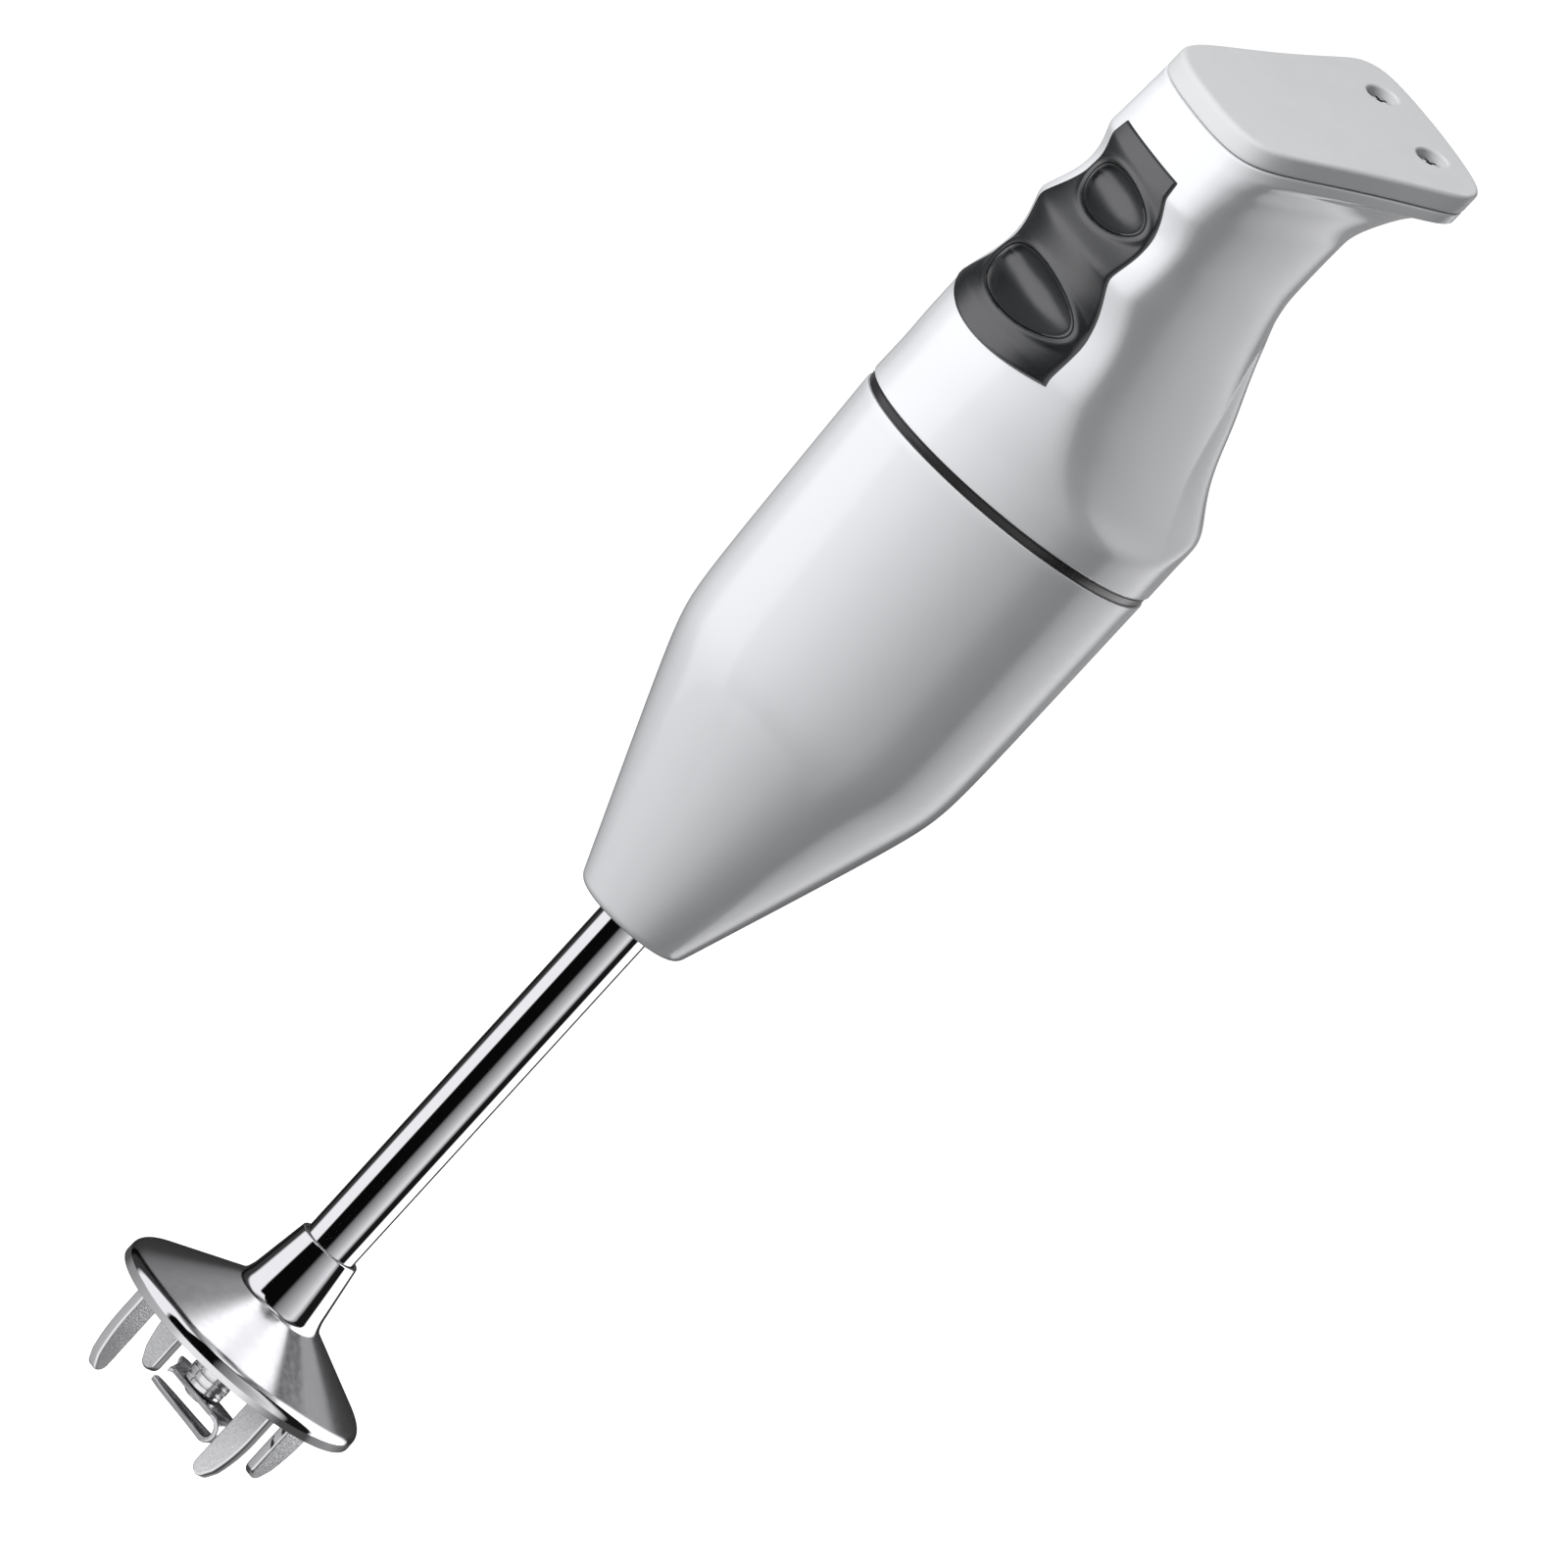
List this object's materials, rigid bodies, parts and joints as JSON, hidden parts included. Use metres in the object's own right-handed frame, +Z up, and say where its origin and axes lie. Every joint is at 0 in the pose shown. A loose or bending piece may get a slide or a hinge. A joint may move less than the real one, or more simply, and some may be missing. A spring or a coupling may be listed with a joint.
{
  "type": "immersion blender",
  "caption": "Hand-held immersion blender: white oval motor housing with a beaked grip and two dished buttons, chromed shaft tube, pronged bell guard and spinning folded blade.",
  "frame": {"origin": "centre of the outline at the level of the prong tips; the shaft's centre line is 3 mm behind it, at y = +3 mm", "axes": "+Z up the shaft from the bell to the cap, -Y towards the side with the buttons, +Y towards the beak, +X to the right when looking along +Y at the button side"},
  "size_m": [0.059, 0.0706, 0.334],
  "materials": {
    "white_gloss": "gloss",
    "cap_grey": "satin",
    "soft_dark": "satin grained",
    "trim_dark": "satin",
    "polished": "polished",
    "cast": "cast",
    "steel": "ground",
    "laminated": "laminated",
    "copper": "enamelled copper wire",
    "bronze": "sintered",
    "carbon": "pressed carbon",
    "black_plastic": "satin",
    "ivory_plastic": "satin",
    "board_green": "solder mask",
    "blue_plastic": "dipped",
    "rubber": "matte"
  },
  "bodies": {
    "housing": {"lower_housing": "white_gloss", "trim_ring": "trim_dark", "upper_housing": "white_gloss", "top_cap": "cap_grey", "cap_screw_left": "steel", "cap_screw_right": "steel", "grip_pad": "soft_dark", "cable_gland": "black_plastic", "microswitch_upper": "black_plastic", "microswitch_lower": "black_plastic", "switch_board": "board_green", "capacitor": "blue_plastic", "terminal_block": "ivory_plastic", "stator_core": "laminated", "field_coil_front": "copper", "field_coil_rear": "copper", "motor_end_plate_lower": "cast", "motor_end_plate_upper": "ivory_plastic", "lower_bearing": "steel", "upper_bearing": "steel", "brush_holder_left": "bronze", "brush_holder_right": "bronze", "brush_left": "carbon", "brush_right": "carbon", "shaft_tube": "polished", "tube_collar": "steel", "shaft_bush_lower": "bronze", "shaft_bush_upper": "bronze", "shaft_seal": "rubber", "bell_guard": "polished"},
    "rotor": {"rotor_shaft": "steel", "armature_core": "laminated", "armature_winding_upper": "copper", "armature_winding_lower": "copper", "commutator": "copper", "cooling_fan": "black_plastic", "coupling": "black_plastic", "drive_shaft": "steel", "drive_pin": "steel"},
    "blade_set": {"blade_hub": "polished", "blade": "steel", "blade_rivet": "steel"},
    "upper_button": {"button_upper": "soft_dark", "plunger_upper": "ivory_plastic"},
    "lower_button": {"button_lower": "soft_dark", "plunger_lower": "ivory_plastic"}
  },
  "joints": [
    {"name": "drive_spin", "type": "hinge", "parent": "housing", "child": "rotor", "pos_m": [0, 0.003, 0.205], "axis": [0, 0, 1], "continuous": true},
    {"name": "blade_release", "type": "slide", "parent": "rotor", "child": "blade_set", "axis": [0, 0, -1], "range_m": [0, 0.0145]},
    {"name": "upper_button_press", "type": "slide", "parent": "housing", "child": "upper_button", "axis": [0, 1, 0], "range_m": [0, 0.0012], "stiffness_N_per_m": 1200, "springref_m": -0.001},
    {"name": "lower_button_press", "type": "slide", "parent": "housing", "child": "lower_button", "axis": [0, 1, 0], "range_m": [0, 0.0012], "stiffness_N_per_m": 1200, "springref_m": -0.001}
  ]
}
